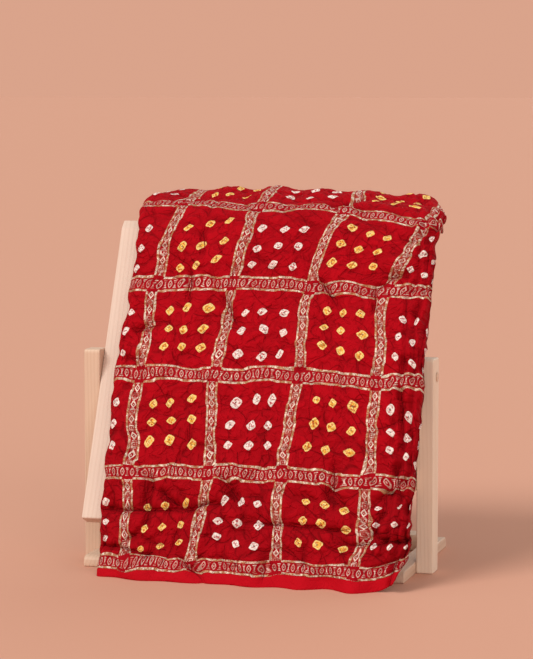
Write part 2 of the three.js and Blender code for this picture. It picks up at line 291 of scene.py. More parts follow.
# The same columns, for the narrow lines that only the fine sheet holds
FINE_CREASES = np.array([
    [-128, 196, -60, 188, 4, -1.4], [-70, 172, -24, 150, 4, -1.2],
    [-36, 214, 8, 196, 4, -1.2], [58, 186, 118, 170, 4, -1.3],
    [92, 262, 140, 240, 4, -1.4], [-120, 384, -84, 376, 4, -1.2],
    [48, 306, 78, 296, 4, -1.3], [-134, 142, -110, 160, 4, -1.4],
    [12, 432, 52, 414, 4.5, -1.8], [98, 428, 136, 408, 4.5, -2.0],
    [-108, 456, -66, 470, 4.5, -1.8], [-83, 106, -62, 95, 4.5, -3.0],
    [-45, 92, -24, 91, 4.5, -2.6], [-98, 116, -96, 90, 4.5, -3.0],
    [-90, 80, -93, 64, 4.5, -2.6], [-111, 46, -100, 58, 4.5, -2.6],
    [-101, 49, -73, 42, 4.5, -2.8], [-37, 72, -44, 48, 4, -1.8],
    [-13, 122, -2, 106, 4.5, -2.6], [15, 109, 30, 99, 4.5, -2.4],
    [12, 90, 11, 72, 4, -2.2], [9, 71, 24, 73, 4, -2.2],
    [-15, 94, -14, 76, 4, -2.0], [3, 66, 27, 52, 4, -2.0],
    [69, 112, 82, 103, 4.5, -2.6], [101, 112, 106, 98, 4.5, -2.6],
    [61, 70, 70, 56, 4, -2.2], [81, 50, 80, 22, 4.5, -3.0],
    [110, 66, 118, 54, 4.5, -2.8], [116, 46, 127, 28, 4.5, -3.0],
    [143, 100, 168, 114, 4.5, -3.2], [154, 74, 150, 64, 4.5, -3.0],
    [150, 65, 182, 56, 4.5, -3.2], [182, 56, 204, 60, 4.5, -3.2],
    [-8, 40, -2, 18, 4, -2.4], [40, 36, 38, 6, 4, -2.2],
    [91, 404, 91, 388, 4, -1.6], [133, 379, 149, 381, 4, -1.8],
    [158, 355, 166, 364, 4.5, -2.6], [125, 340, 145, 354, 4.5, -3.0],
    [172, 408, 206, 426, 4.5, -3.2], [176, 408, 172, 390, 4.5, -3.0],
    [168, 224, 166, 196, 4.5, -2.8], [168, 256, 166, 240, 4.5, -2.6],
    [180, 262, 182, 244, 4.5, -2.8], [131, 176, 147, 178, 4.5, -2.2],
    [172, 170, 168, 154, 4.5, -2.8], [176, 146, 178, 132, 4.5, -2.8],
    [148, 26, 178, 36, 4.5, -3.0], [168, -6, 184, 42, 4.5, -6.5],
])

# Lift of the hem's right corner: its height, where it starts and ends across, and its fade
LIFT_HEIGHT, LIFT_FROM, LIFT_TO, LIFT_FADE = 26.0, 152.0, 214.0, 46.0

# %% Smooth curves
def smoothstep(x, start, end):
    """0 below start, 1 above end and 3t^2 - 2t^3 between them. The start may be the larger."""
    t = np.clip((x - start) / (end - start), 0, 1)
    return t * t * (3 - 2 * t)


def bell(distance, width):
    """e^-(distance / width)^2: 1 in the middle and nearly 0 from twice the width."""
    return np.exp(-(distance / width) ** 2)


def through(stations, values, x):
    """A curve through the values at the stations, at every x.

    Each piece is a cubic that starts and ends with given slopes. A station's slope is the mean
    of the slopes to its two neighbours, each weighted by the other's distance. The values may
    be numbers or arrays of the shape of x, one for each station.
    """
    stations = np.asarray(stations, float)
    values = np.stack([np.broadcast_to(value, x.shape) for value in values])
    step = np.diff(stations)
    each = (slice(None),) + (None,) * x.ndim
    climb = np.diff(values, axis=0) / step[each]
    before, after = step[:-1][each], step[1:][each]
    inner = (climb[:-1] * after + climb[1:] * before) / (before + after)
    slope = np.concatenate([climb[:1], inner, climb[-1:]])
    i = np.clip(np.searchsorted(stations, x, side="left") - 1, 0, len(step) - 1)
    t = (x - stations[i]) / step[i]

    def pick(table, index):
        return np.take_along_axis(table, index[None], 0)[0]

    start = pick(values, i) * (1 + 2 * t) * (1 - t) ** 2
    start += pick(slope, i) * step[i] * t * (1 - t) ** 2
    end = pick(values, i + 1) * t * t * (3 - 2 * t)
    end -= pick(slope, i + 1) * step[i] * t * t * (1 - t)
    return start + end


def at_section(name, v):
    """The named column of the table of sections at every v."""
    return through(section["v"], section[name], v)


def from_line(u, v, crease):
    """Distance to a crease's line, and the signed distance across it, above zero on its left."""
    u0, v0, u1, v1 = crease[:4]
    du, dv = u1 - u0, v1 - v0
    t = np.clip(((u - u0) * du + (v - v0) * dv) / (du * du + dv * dv), 0, 1)
    across = ((v - v0) * du - (u - u0) * dv) / np.hypot(du, dv)
    return np.hypot(u - u0 - t * du, v - v0 - t * dv), across


# %% [markdown]
# ## Creases
#
# A tied cloth never lies smooth. The main creases are given in a table, each a soft, slightly
# crooked trough with a sharper core. Webs of shallow valleys between them come from the zero
# lines of crossing waves, which wander and join as real creases do. The mesh also carries the
# distance from a crease, so that the material can paint a line of shade finer than the mesh.

# %% Crossing waves and crease lines
# Of each web of valleys: the wavelength, the seed, and the depth and width of its valleys
WEBS = {
    "web_long": (74.0, 1, 1.9, 0.26),
    "web_short": (46.0, 2, 1.3, 0.30),
    "web_fine": (24.0, 5, 0.9, 0.34),
}
CROOKED_BY, CROOKED_PITCH = 1.3, 33
CREASE_REACH, CREASE_NEAR = 6.0, 3.0
END_OUTSIDE, END_INSIDE = -3, 7
FULL_DEPTH = 3.5


def waves(u, v, wavelength, seed, count=9):
    """A smooth random field of about unit strength.

    It is the sum of sine waves of like length, with directions and phases from the seed.
    """
    rng = np.random.default_rng(seed)
    total = np.zeros_like(u)
    for _ in range(count):
        angle = rng.uniform(0, np.pi)
        pitch = wavelength * rng.uniform(0.75, 1.35)
        phase = rng.uniform(0, 2 * np.pi)
        total += np.sin(2 * np.pi * (u * np.cos(angle) + v * np.sin(angle)) / pitch + phase)
    return total * np.sqrt(2 / count)


def web_field(name, u, v):
    """The field of waves whose zero lines are the named web."""
    wavelength, seed = WEBS[name][:2]
    return waves(u, v, wavelength, seed)


def crooked(u, v):
    """The place u, v moved by up to three millimetres, so that straight creases run crooked."""
    moved_u = u + CROOKED_BY * waves(u, v, CROOKED_PITCH, seed=31)
    return moved_u, v + CROOKED_BY * waves(u, v, CROOKED_PITCH, seed=32)


def nearest_crease(u, v):
    """Signed distance across the nearest crease, and how sharp it is there, from 0 to 1.

    The sharpness fades at both ends of a crease, and to nothing at the reach beside it. A
    crease of the full depth or more has it in full.
    """
    signed = np.full_like(u, CREASE_REACH)
    sharpness = np.zeros_like(u)
    u, v = crooked(u, v)
    for crease in np.concatenate([MAIN_CREASES[MAIN_CREASES[:, 5] < 0], FINE_CREASES]):
        u0, v0, u1, v1, _, depth = crease
        length = np.hypot(u1 - u0, v1 - v0)
        _, across = from_line(u, v, crease)
        along = ((u - u0) * (u1 - u0) + (v - v0) * (v1 - v0)) / length
        here = smoothstep(along, END_OUTSIDE, END_INSIDE)
        here = here * smoothstep(length - along, END_OUTSIDE, END_INSIDE)
        here = here * smoothstep(np.abs(across), CREASE_REACH, CREASE_NEAR)
        here = here * min(1.0, -depth / FULL_DEPTH)
        signed = np.where(here > sharpness, across, signed)
        sharpness = np.maximum(sharpness, here)
    return np.clip(signed, -CREASE_REACH, CREASE_REACH), sharpness


# %% [markdown]
# ## Where the pattern lies
#
# The check was woven square, at an even pitch, but the cloth is pulled about, so its bands
# wander. A table says how far each crossing of a stripe and a band has moved. The pattern's
# own coordinates, s across and t along, undo that and become the UV map. They step at every
# crease, where a little of the pattern is tucked away.

# %% Pattern coordinates
STRIPE_PITCH = 88.0
BAND_PITCH = 106.0
FIRST_STRIPE = -132.0
FIRST_BAND = 22.0
STRIPES = FIRST_STRIPE + STRIPE_PITCH * np.arange(4)
KINK_SHARE, KINK_WIDTH = 0.8, 2.0

# t, then the shift across at the four stripes, then the shift along at the four stripes
SHIFTS = np.array([
    [22, 17, 4.5, 6, 3.5, -3, -1, 0.5, 2],
    [128, 13.5, 11.5, 3, 7.5, -2.5, 1.5, 2, -2],
    [234, 9, 6.5, 9.5, 7.5, -0.5, 1, 3, -3.5],
    [340, 13.5, 13, 9.5, 7.5, -1, 2.5, 0, -4],
    [446, 27.5, 26, 34.5, 41, 6.5, -1, -4, -25],
    [500, 33, 31, 40, 48, 6, -1, -5, -27],
    [552, 32, 30, 38, 45, 4, 0, -4, -18],
    [658, 16, 15, 18, 20, 0, 0, 0, -4],
    [786, 8, 8, 8, 8, 0, 0, 0, 0],
])


def shift_at(s, t):
    """How far the pattern has moved across and along at the even place s, t."""
    rows = np.clip(t, SHIFTS[0, 0], SHIFTS[-1, 0])
    columns = np.clip(s, STRIPES[0], STRIPES[-1])
    shifts = []
    for first_column in (1, 5):
        at_stripes = [through(SHIFTS[:, 0], SHIFTS[:, first_column + k], rows) for k in range(4)]
        shifts.append(through(STRIPES, at_stripes, columns))
    return shifts


def even_place(u, v):
    """The even place whose shift leads to u, v, found by taking the shift off five times."""
    s, t = u.copy(), v.copy()
    for _ in range(5):
        across, along = shift_at(s, t)
        s, t = u - across, v - along
    return s, t


def pattern_at(u, v):
    """Pattern coordinates of the cloth at u, v: the even place, with a step at every crease.

    The step is a tanh of the distance across the crease or of the web's field, about a
    millimetre at the web and more at a deeper crease. Ridges make no step.
    """
    s, t = even_place(u, v)
    at_long = np.tanh(web_field("web_long", u, v) / 0.16)
    at_short = np.tanh(web_field("web_short", u, v) / 0.2)
    at_others = np.tanh(waves(u, v, WEBS["web_short"][0], seed=4) / 0.2)
    s += 1.0 * at_long + 0.8 * at_short
    t += 0.8 * at_long + 0.8 * at_others
    u, v = crooked(u, v)
    for crease in np.concatenate([MAIN_CREASES, FINE_CREASES]):
        distance, side = from_line(u, v, crease)
        u0, v0, u1, v1, width, depth = crease
        kink = -KINK_SHARE * min(depth, 0) * np.tanh(side / KINK_WIDTH) * bell(distance, width)
        s += kink * (v0 - v1) / np.hypot(u1 - u0, v1 - v0)
        t += kink * (u1 - u0) / np.hypot(u1 - u0, v1 - v0)
    return s, t


# %% [markdown]
# ## Where the dots lie
#
# The dots are tied by hand, three by three in each field of the check, so no field is quite
# like the next. Four tables say how far down and to the left each field's dots sit, how their
# rows slope, and how large they are. A UV map of the dots' own undoes this.

# %% Dot coordinates
# The rows are the fields from the hem up, the columns the fields from the left edge to the
# right fold
LOWERED = np.array([
    [5, 9, 3, 1, 0],
    [3, 0, 2, 0, 7],
    [6, 1, 6, 0, 13],
    [16, 8, 10, 3, 9],
    [0, 0, 0, 0, 0],
])
TO_THE_LEFT = np.array([
    [3, 0, 0, -3, 7],
    [0, 2, 0, 0, 3],
    [0, 0, 1, 0, 2],
    [4, 2, 5, 5, 8],
    [0, 0, 0, 0, 0],
])
RISE_TO_THE_RIGHT = np.array([
    [0, 0.12, -0.10, -0.12, 0],
    [0, 0.02, 0, -0.06, -0.3],
    [0, 0.05, 0.05, -0.10, -0.35],
    [0, 0.22, 0, -0.08, -0.35],
    [0, 0, 0, 0, 0],
])
DOT_SIZE = np.array([
    [0.80, 0.80, 0.90, 0.90, 0.66],
    [0.85, 0.95, 0.95, 0.94, 0.92],
    [0.80, 0.95, 0.92, 0.95, 0.88],
    [0.80, 0.92, 0.88, 0.92, 0.86],
    [0.85, 0.90, 0.85, 0.90, 0.85],
])
GATHERED_FROM, GATHERED_BY = 154.0, 0.3
WANDER, WANDER_PITCH = 1.5, 66

# The middle dot of a field and the step to the next one, as fractions of the field
DOT_MIDDLE_S, DOT_STEP_S = 0.505, 0.245
DOT_MIDDLE_T, DOT_STEP_T = 0.51, 0.22


def field_of(s, t):
    """Row and column, in the tables above, of the field that holds the even place s, t."""
    row = np.clip((t - FIRST_BAND) // BAND_PITCH, 0, len(LOWERED) - 1)
    column = np.clip((s - FIRST_STRIPE) // STRIPE_PITCH + 1, 0, LOWERED.shape[1] - 1)
    return row.astype(int), column.astype(int)


def dots_at(u, v):
    """Coordinates for the dots: the even place, moved and sloped as its field is.

    They wander by a millimetre or two. Past the last stripe they run faster than the cloth,
    so the dots there are gathered.
    """
    s, t = even_place(u, v)
    field = field_of(s, t)
    from_middle = s - FIRST_STRIPE - STRIPE_PITCH * (field[1] - 0.5)
    moved_s = s + TO_THE_LEFT[field] + GATHERED_BY * np.maximum(s - GATHERED_FROM, 0)
    moved_t = t + LOWERED[field] - RISE_TO_THE_RIGHT[field] * from_middle
    moved_s = moved_s + WANDER * waves(u, v, WANDER_PITCH, seed=21)
    return moved_s, moved_t + WANDER * waves(u, v, WANDER_PITCH, seed=22)


def from_dot(s, t):
    """Distance in millimetres to the nearest dot, in the dots' coordinates."""
    x = (np.mod((s - FIRST_STRIPE) / STRIPE_PITCH, 1) - DOT_MIDDLE_S) / DOT_STEP_S
    y = (np.mod((t - FIRST_BAND) / BAND_PITCH, 1) - DOT_MIDDLE_T) / DOT_STEP_T
    x -= np.clip(np.round(x), -1, 1)
    y -= np.clip(np.round(y), -1, 1)
    return np.hypot(x * DOT_STEP_S * STRIPE_PITCH, y * DOT_STEP_T * BAND_PITCH)


# %% [markdown]
# ## The relief
#
# All small forms add up to one height over the smooth drape: a low pucker, the creases, the
# webs, upright gathers along the right fold, waves at the hem, and a mound at every dot, where
# the binding has stretched the cloth. As real geometry they show in outline and shadow too.

# %% Relief
# The broad part and the sharp core of a crease, as shares of its depth and width
BROAD_DEPTH, BROAD_WIDTH = 0.58, 0.85
CORE_DEPTH, CORE_WIDTH = 0.6, 0.26
GATHER_HEIGHT, GATHER_PITCH = 2.0, 1.8
HEM_WAVES, HEM_PITCH = 4.2, 46
SWELL, SWELL_PITCH = 1.1, 58
MOUND_HEIGHT, MOUND_WIDTH = 1.1, 6.0
MOAT_DEPTH, MOAT_RADIUS, MOAT_WIDTH = 0.5, 9.5, 3.0


def gathers_at(u, v):
    """Narrow upright folds along the right fold: a bent sine wave with deepened troughs."""
    shown = smoothstep(u, 148, 172) * smoothstep(v, 480, 430) * smoothstep(v, 10, 40)
    folds = np.sin(u / GATHER_PITCH + 2.2 * np.sin(v / 37) + 1.4 * np.sin(v / 15 + u / 9))
    uneven = 0.5 * waves(u, v, 17, seed=6)
    return GATHER_HEIGHT * shown * (folds - 1.4 * bell(folds + 1, 0.3) + uneven)


def relief_at(u, v):
    """Height of all small forms over the smooth drape, and its sharp part, for the painted shade.
    """
    height = PUCKER_HEIGHT * np.sin(u / PUCKER_ACROSS + v / PUCKER_SLANT_ACROSS)
    height = height * np.sin(v / PUCKER_ALONG - u / PUCKER_SLANT_ALONG)
    sharp = np.zeros_like(u)
    crooked_u, crooked_v = crooked(u, v)
    for crease in MAIN_CREASES:
        distance, _ = from_line(crooked_u, crooked_v, crease)
        width, depth = crease[4:]
        height += BROAD_DEPTH * depth * bell(distance, BROAD_WIDTH * width)
        if depth < 0:
            sharp += CORE_DEPTH * depth * bell(distance, CORE_WIDTH * width)
    for crease in FINE_CREASES:
        distance, _ = from_line(crooked_u, crooked_v, crease)
        width, depth = crease[4:]
        sharp += depth * bell(distance, width)
    # Livelier low down and over the top, and calm at the hem
    lively = 0.75 + 0.5 * smoothstep(v, 130, 60) + 0.2 * smoothstep(v, 400, 450)
    lively = lively * smoothstep(v, 4, 22)
    for name, (_, _, depth, width) in WEBS.items():
        sharp -= lively * depth * bell(web_field(name, u, v), width)
    sharp += gathers_at(u, v)
    height += HEM_WAVES * smoothstep(v, 46, 4) * waves(u, 0.35 * v, HEM_PITCH, seed=7)
    height += lively * SWELL * waves(u, v, SWELL_PITCH, seed=3)
    dot = from_dot(*dots_at(u, v))
    height += MOUND_HEIGHT * bell(dot, MOUND_WIDTH)
    height -= MOAT_DEPTH * bell(dot - MOAT_RADIUS, MOAT_WIDTH)
    return height + sharp, sharp


# %% [markdown]
# ## From flat to draped
#
# The function below is the drape itself: flat distances go in and points in space come out,
# so the folded cloth keeps its real lengths. It could be simulated, but a formula gives the
# same cloth every time, and each of its numbers can be changed by hand.

# %% The surface of the sheet
# Bumps of the two folds' outlines: height, wavelength and seed
EDGE_BUMPS = [(0.7, 31, 8), (0.35, 13, 9)]
SLOPE_STEP = 1.5
ABOVE_FLOOR = 0.1


def sheet_at(u, v):
    """Points of the sheet's outer face, in millimetres, and how much of the valleys' painted shade
    shows.

    Across, the front is flat as far as the folds. Past that the section turns through half a
    circle of the fold's radius, and runs back behind itself. The bow, the fold and the relief
    move a point along the outward direction of its section, which lies level at the hem. Small
    bumps make the folds' outlines uneven.
    """
    fold = np.where(u > 0, at_section("fold_right", v), at_section("fold_left", v))
    reach = np.where(u > 0, at_section("right", v), -at_section("left", v)) - fold
    past = np.abs(u) - reach
    turn = np.clip(past / fold, 0, np.pi)
    returned = np.maximum(past - np.pi * fold, 0)
    bumps = sum(
        height * waves(0.5 * u, v, wavelength, seed) for height, wavelength, seed in EDGE_BUMPS
    )
    outwards = (fold + bumps * smoothstep(v, 500, 440)) * np.sin(turn)
    x = np.sign(u) * np.where(past <= 0, np.abs(u), reach + outwards - returned)
    bow = np.where(x > 0, at_section("bow_right", v), at_section("bow_left", v))
    bow = bow * (x / BOW_SPAN) ** 2
    shown = 1 - smoothstep(turn, SMOOTH_FROM, np.pi)
    relief, valley = relief_at(u, v)
    offset = bow - fold * (1 - np.cos(turn)) + relief * shown
    before, after = np.maximum(v - SLOPE_STEP, 0), np.minimum(v + SLOPE_STEP, LENGTH)
    dy = at_section("y", after) - at_section("y", before)
    dz = at_section("z", after) - at_section("z", before)
    rise = dy * smoothstep(v, 0, LEVEL_HEM)
    size = np.hypot(dz, rise)
    lift = LIFT_HEIGHT * smoothstep(u, LIFT_FROM, LIFT_TO) * np.exp(-v / LIFT_FADE)
    y = at_section("y", v) - offset * dz / size
    z = at_section("z", v) + offset * rise / size + lift
    return np.stack([x, y, np.maximum(z, ABOVE_FLOOR)], -1), valley * shown


# %% [markdown]
# ## The sheet itself
#
# The grid is fine where the cloth shows and coarse behind. Its faces look outward, and a
# Solidify modifier gives the cloth its thickness inward, so the outer face stays where the
# surface says. Besides two UV maps the mesh carries numbers that the material reads.

# %% Cloth mesh
SHEET_THICKNESS = 0.8
FULL_VALLEY = 4.0


def lines(*runs):
    """Grid lines over runs of (start, end, count), each run with equal steps."""
    parts = [np.linspace(start, end, count, endpoint=False) for start, end, count in runs]
    return np.concatenate(parts + [[runs[-1][1]]])


def grid_faces(rows, columns):
    """Vertex numbers of every cell of a grid, anticlockwise as seen from outside."""
    corner = (np.arange(rows - 1)[:, None] * columns + np.arange(columns - 1)).ravel()
    return np.stack([corner, corner + 1, corner + columns + 1, corner + columns], -1)


across_lines = lines(
    (LEFT_EDGE, -210, 8), (-210, -176, 6), (-176, 206, 155), (206, 224, 4), (224, RIGHT_EDGE, 12)
)
along_lines = lines((0, 560, 224), (560, LENGTH, 38))
u, v = np.meshgrid(across_lines, along_lines)
points, valley = sheet_at(u, v)
points = points * MM + np.array(ORIGIN)

cloth_mesh = bpy.data.meshes.new("cloth_sheet")
faces = grid_faces(*u.shape)
cloth_mesh.from_pydata(points.reshape(-1, 3), [], faces.tolist())
cloth_mesh.polygons.foreach_set("use_smooth", np.ones(len(faces), bool))

corner_of = np.empty(len(cloth_mesh.loops), np.int32)
cloth_mesh.loops.foreach_get("vertex_index", corner_of)
for name, pair in {"pattern": pattern_at(u, v), "dots": dots_at(u, v)}.items():
    layer = cloth_mesh.uv_layers.new(name=name)
    values = np.stack([axis.ravel()[corner_of] for axis in pair], -1) * MM
    layer.uv.foreach_set("vector", values.ravel())
crease_side, crease_sharpness = nearest_crease(u, v)
for name, values in {
    # How deep the valleys are, for the painted shade in them
    "valley": np.clip(-valley / FULL_VALLEY, 0, 1),
    "crease_side": crease_side,
    "crease_sharpness": crease_sharpness,
    "dot_size": DOT_SIZE[field_of(*even_place(u, v))],
    **{name: web_field(name, u, v) for name in WEBS},
}.items():
    attribute = cloth_mesh.attributes.new(name, "FLOAT", "POINT")
    attribute.data.foreach_set("value", values.ravel())

cloth = bpy.data.objects.new("cloth_sheet", cloth_mesh)
bpy.context.scene.collection.objects.link(cloth)
thickness = cloth.modifiers.new("thickness", "SOLIDIFY")
thickness.thickness = SHEET_THICKNESS * MM
thickness.offset = -1.0
print("cloth:", u.size, "points,", 4 * len(faces), "triangles with its thickness")

# %% [markdown]
# ## Tied dots
#
# A tied dot is a small, uneven square, because the pinch of cloth is folded in four before it
# is bound. The group below finds the nearest dot of its field, turns and stretches it by
# chance, and bends its outline with a little noise. It also gives a rim, a speck, and crooked
# lines where the cloth was pinched beside the dot. Every second column of fields is yellow.

# %% Node group: tied dots
DOT_POWER = 3.6
DOT_STRAY = 1.2
EDGE_NOISE, EDGE_NOISE_SCALE = 2.2, 0.24

net, entry, result = new_group(
    "Tied dots",
    {"Position": "Vector", "Size": "Float"},
    dict.fromkeys(["Mask", "Rim", "Speck", "Yellow", "Pinch", "Chance"], "Float"),
)
place = net.parts(entry["Position"])
column = net.math("DIVIDE", net.math("SUBTRACT", place[0], FIRST_STRIPE), STRIPE_PITCH)
row = net.math("DIVIDE", net.math("SUBTRACT", place[1], FIRST_BAND), BAND_PITCH)


def nearest_dot(position, middle, pitch):
    """Distance to the nearest of three dots along one axis, in dot steps, and its number."""
    local = net.math("SUBTRACT", net.math("FRACT", position), middle)
    local = net.math("DIVIDE", local, pitch)
    near = net.math("MINIMUM", net.math("MAXIMUM", net.math("ROUND", local), -1.0), 1.0)
    number = net.math("MULTIPLY_ADD", net.math("FLOOR", position), 3.0, near)
    return net.math("SUBTRACT", local, near), number


away_s, number_s = nearest_dot(column, DOT_MIDDLE_S, DOT_STEP_S)
away_t, number_t = nearest_dot(row, DOT_MIDDLE_T, DOT_STEP_T)
away_s = net.times(away_s, DOT_STEP_S * STRIPE_PITCH)
away_t = net.times(away_t, DOT_STEP_T * BAND_PITCH)
number = net.add("CombineXYZ", {0: number_s, 1: number_t, 2: 3.0}).outputs[0]
chance_colour = net.add("TexWhiteNoise", {"Vector": number}).outputs["Color"]
chances = net.add("SeparateColor", {0: chance_colour}).outputs
away_s = net.math("ADD", away_s, net.between(chances[2], -DOT_STRAY, DOT_STRAY))
away_t = net.math("ADD", away_t, net.between(chances[0], -DOT_STRAY, DOT_STRAY))
flat_place = net.add("CombineXYZ", {0: away_s, 1: away_t}).outputs[0]
turned = net.turned(flat_place, net.between(chances[0], 0.3, 1.05), "Z")
wobble = net.noise(entry["Position"], EDGE_NOISE_SCALE, detail=2.5, output="Color")
wobble = net.scaled(net.vector("SUBTRACT", wobble, (0.5, 0.5, 0.5)), EDGE_NOISE)
local = net.parts(net.vector("ADD", turned, wobble))
half_wide = net.times(net.between(chances[1], 4.0, 5.0), entry["Size"])
half_high = net.times(net.between(chances[2], 4.7, 5.5), entry["Size"])
outline = net.rounded(local[0], local[1], (half_wide, half_high), DOT_POWER)


def pinch_line(tilt, reach):
    """A short line on both sides of the dot, bowed like a sine wave and tilted by chance."""
    ray = net.parts(net.turned(flat_place, net.between(tilt, -0.75, 0.75), "Z"))
    phase = net.math("MULTIPLY_ADD", tilt, 6.0, net.times(ray[1], 0.3))
    bow = net.times(net.math("SINE", phase), 1.1)
    beside = net.away(ray[0], bow)
    out = net.math("ABSOLUTE", ray[1])
    return net.times(
        net.step(beside, 1.5, 0.1), net.step(out, 3.0, 5.5), net.step(out, reach, reach * 0.6)
    )


parity = net.math("MODULO", net.math("ADD", net.math("FLOOR", column), 8.0), 2.0)
from_middle = net.math("ADD", outline, net.times(chances[0], 0.12))
net.fill(result, {
    "Mask": net.step(outline, 1.02, 0.95),
    "Rim": net.step(outline, 0.62, 0.8),
    "Speck": net.step(from_middle, 0.25, 0.12),
    "Yellow": net.inverse(parity),
    "Pinch": net.any(
        pinch_line(chances[1], 12.5), net.times(0.7, pinch_line(chances[2], 10.5))
    ),
    "Chance": chances[1],
})
tied_dots = net.tree

# %% [markdown]
# ## Zari check
#
# The stripes along the cloth carry a chain of outlined lozenges and small blocks between two
# bright edges. The bands across it carry ovals and bars. Both are common woven repeats, drawn
# here from absolute distances: a lozenge is |x| + |y|, a block the larger of |x| and |y|, and
# a pointed oval |x|^1.5 + |y|^1.5. Where they cross, all four edges stop and the band's chain
# runs on.

# %% Node group: zari check
CHAIN_PITCH, ROUND_PITCH = 18.0, 10.6
# Half the width of a stripe and of a band. The stripes' distances are a little enlarged
STRIPE_HALF, BAND_HALF, STRIPE_ENLARGED = 6.7, 8.5, 1.07
# Half the width and height of each figure
LOZENGE, BLOCK, OVAL = (3.2, 4.6), (3.2, 2.6), (2.25, 4.4)
OVAL_POWER = 1.5

net, entry, result = new_group(
    "Zari check",
    {"Position": "Vector"},
    dict.fromkeys(["Edge", "Figure", "Filling", "Field", "Stripe"], "Float"),
)
place = net.parts(entry["Position"])


def from_nearest(value, first, pitch):
    """Distance from the nearest of evenly spaced lines."""
    shifted = net.math("SUBTRACT", value, first)
    return net.math("ABSOLUTE", net.math("WRAP", shifted, pitch / 2, -pitch / 2))


def outlined(distance, at, half_width, spot):
    """A figure from a distance that is 1 at its edge: an outline, and a spot in its middle."""
    return net.any(net.line(distance, at, half_width), net.step(distance, *spot))


side = from_nearest(place[0], FIRST_STRIPE, STRIPE_PITCH)
side = net.times(side, STRIPE_ENLARGED)
over = from_nearest(place[1], FIRST_BAND, BAND_PITCH)
in_stripe = net.step(side, STRIPE_HALF, STRIPE_HALF - 0.3)
in_band = net.step(over, BAND_HALF, BAND_HALF - 0.3)
beside_stripe = net.inverse(net.step(side, STRIPE_HALF - 0.2, STRIPE_HALF - 0.4))
beside_band = net.inverse(net.step(over, BAND_HALF - 0.2, BAND_HALF - 0.4))

along_chain = from_nearest(place[1], FIRST_BAND, CHAIN_PITCH)
to_block = net.math("SUBTRACT", CHAIN_PITCH / 2, along_chain)
lozenge = net.rounded(side, along_chain, LOZENGE, 1.0)
block = net.any(net.math("DIVIDE", side, BLOCK[0]), net.math("DIVIDE", to_block, BLOCK[1]))
stripe_edge = net.line(side, 5.35, 1.5)
lozenges = outlined(lozenge, 0.84, 0.32, spot=(0.26, 0.14))
blocks = net.any(
    outlined(block, 0.82, 0.26, spot=(0.34, 0.2)),
    net.times(net.line(to_block, 3.7, 0.5), net.step(side, 2.6, 2.3)),
)

along_round = from_nearest(place[0], 0.0, ROUND_PITCH)
to_bar = net.math("SUBTRACT", ROUND_PITCH / 2, along_round)
oval = net.rounded(along_round, over, OVAL, OVAL_POWER)
band_edge = net.line(over, 7.15, 1.5)
ovals = outlined(oval, 0.84, 0.24, spot=(0.32, 0.2))
bars = net.any(
    net.times(net.step(to_bar, 0.7, 0.4), net.step(over, 2.2, 1.8)),
    net.times(net.line(over, 4.0, 0.6), net.step(to_bar, 1.9, 1.6)),
    net.times(net.line(over, 2.4, 0.5), net.step(to_bar, 1.3, 1.0)),
)

stripe_shown = net.times(in_stripe, beside_band)
net.fill(result, {
    "Edge": net.any(
        net.times(stripe_edge, stripe_shown), net.times(band_edge, in_band, beside_stripe)
    ),
    "Figure": net.any(net.times(lozenges, stripe_shown), net.times(ovals, in_band)),
    "Filling": net.any(net.times(blocks, stripe_shown), net.times(bars, in_band)),
    "Field": net.any(in_stripe, in_band),
    "Stripe": stripe_shown,
})
zari_check = net.tree

# %% [markdown]
# ## Crinkle and weave
#
# Between its creases the cloth is crinkled all over, because it dried while it was tied. Two
# noises give that: where one passes through its middle value runs a thin valley. The weave is
# plain, one thread over and one under, so its relief is the product of two sine waves.

# %% Node group: crinkle and weave
WARP_PITCH, WEFT_PITCH = 0.55, 0.62
DRIFT, DRIFT_SCALE = 22.0, 0.035

net, entry, result = new_group(
    "Crinkled weave", {"Position": "Vector"}, {"Crinkle": "Float", "Weave": "Float"}
)
drift = net.scaled(net.noise(entry["Position"], DRIFT_SCALE, output="Color"), DRIFT)
drifted = net.vector("ADD", entry["Position"], drift)


def fold_lines(scale, width=0.13):
    """0 along thin lines where a noise passes through its middle value, and 1 away from them."""
    return net.step(net.away(net.noise(drifted, scale, detail=1.5), 0.5), 0.0, width)


coarse, small = fold_lines(0.05), fold_lines(0.12)
thread = net.parts(entry["Position"])
warp, weft = (
    net.math("SINE", net.times(thread[axis], 2 * np.pi / pitch))
    for axis, pitch in enumerate([WARP_PITCH, WEFT_PITCH])
)
net.fill(result, {
    "Crinkle": net.math("MULTIPLY_ADD", small, 0.55, coarse),
    "Weave": net.times(warp, weft),
})
crinkled_weave = net.tree

# %% [markdown]
# ## The cloth's material
#
# Deep red, matt, with a little fuzz from the Principled shader's sheen. The red is darker in
# painted shade: in the valleys, along the thin lines of creases, webs and crinkles, beside the
# dots' pinches, and low down and at the right, where less light reaches it. The dots keep the
# pale ground or the yellow of an earlier bath, clearest at their rims, with pale patches on the
# yellow as painted highlights, red that has bled in and a dark speck where the thread was. The
# zari is a metallic thread that breaks up in places, with painted highlights and shade in
# patches. The hem is a plain, brighter strip.

# %% Cloth material
DEEP_RED = (0.485, 0.0020, 0.0090, 1)
# The dark red serves the uneven dye and all the painted shade
DARK_RED = (0.17, 0.001, 0.003, 1)
HEM_RED = (0.47, 0.0032, 0.0105, 1)
BAND_RED = (0.36, 0.003, 0.010, 1)
UNDYED = (0.90, 0.80, 0.73, 1)
YELLOW = (0.90, 0.49, 0.07, 1)
PALE_YELLOW = (0.94, 0.73, 0.28, 1)
BLED_RED = (0.50, 0.06, 0.07, 1)
BLED_ORANGE = (0.50, 0.09, 0.02, 1)
KNOT = (0.09, 0.07, 0.06, 1)
